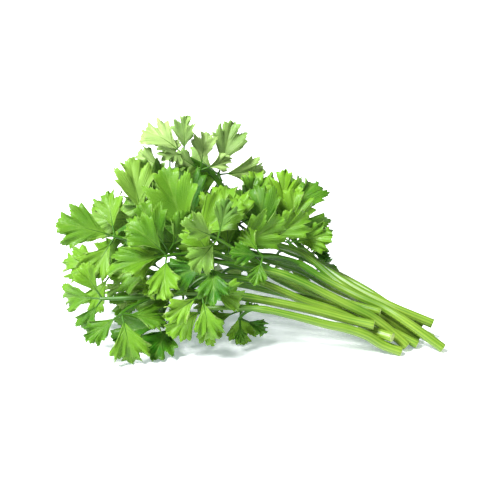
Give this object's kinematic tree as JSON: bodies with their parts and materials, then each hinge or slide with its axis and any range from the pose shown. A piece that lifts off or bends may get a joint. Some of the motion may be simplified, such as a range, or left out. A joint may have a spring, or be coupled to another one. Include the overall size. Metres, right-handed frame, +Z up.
{
  "type": "coriander bunch",
  "caption": "Loose bunch of fresh coriander lying on its side, with toothed three-lobed leaflets in threes and long cut stems.",
  "frame": {"origin": "middle of the bunch's footprint, on the surface that it lies on", "axes": "+X along the bunch towards the cut stem ends, +Z up, -Y towards the front that the picture shows"},
  "size_m": [0.2712, 0.17, 0.1422],
  "materials": {
    "leaf": "satin leaf",
    "stem": "satin stem"
  },
  "bodies": {
    "root": {"leafy_stem_01": "leaf", "leafy_stem_02": "leaf", "leafy_stem_03": "leaf", "leafy_stem_04": "leaf", "leafy_stem_05": "leaf", "leafy_stem_06": "leaf", "leafy_stem_07": "leaf", "leafy_stem_08": "leaf", "leafy_stem_09": "leaf", "leafy_stem_10": "leaf", "leafy_stem_11": "leaf", "leafy_stem_12": "leaf"}
  },
  "joints": []
}
